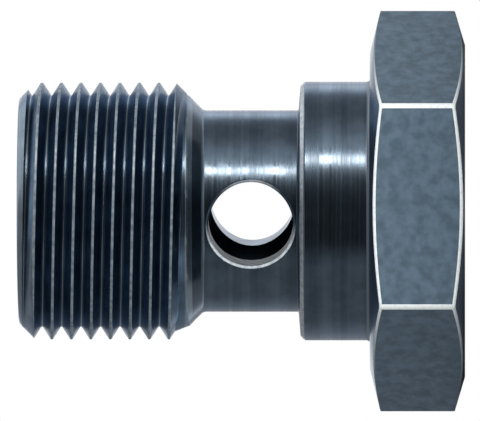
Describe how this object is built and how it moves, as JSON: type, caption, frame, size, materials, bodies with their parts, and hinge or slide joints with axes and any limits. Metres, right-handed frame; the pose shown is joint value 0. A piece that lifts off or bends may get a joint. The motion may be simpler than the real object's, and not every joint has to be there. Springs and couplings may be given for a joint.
{
  "type": "banjo bolt",
  "caption": "Hollow hexagon-head bolt with a blind axial bore and a cross hole in its waist; clamps a banjo fitting and carries fluid through it.",
  "frame": {"origin": "centre of the hexagon head's outer face, which the bolt stands on", "axes": "+Z along the bolt's axis from the head to the threaded tip; two hexagon corners point along X and two flats face along Y"},
  "size_m": [0.0308, 0.0268, 0.0343],
  "materials": {
    "blackened_steel": "turned and milled steel, hot blackened and oiled, with a cool blue-grey cast"
  },
  "bodies": {
    "root": {"banjo_bolt": "blackened_steel"}
  },
  "joints": []
}
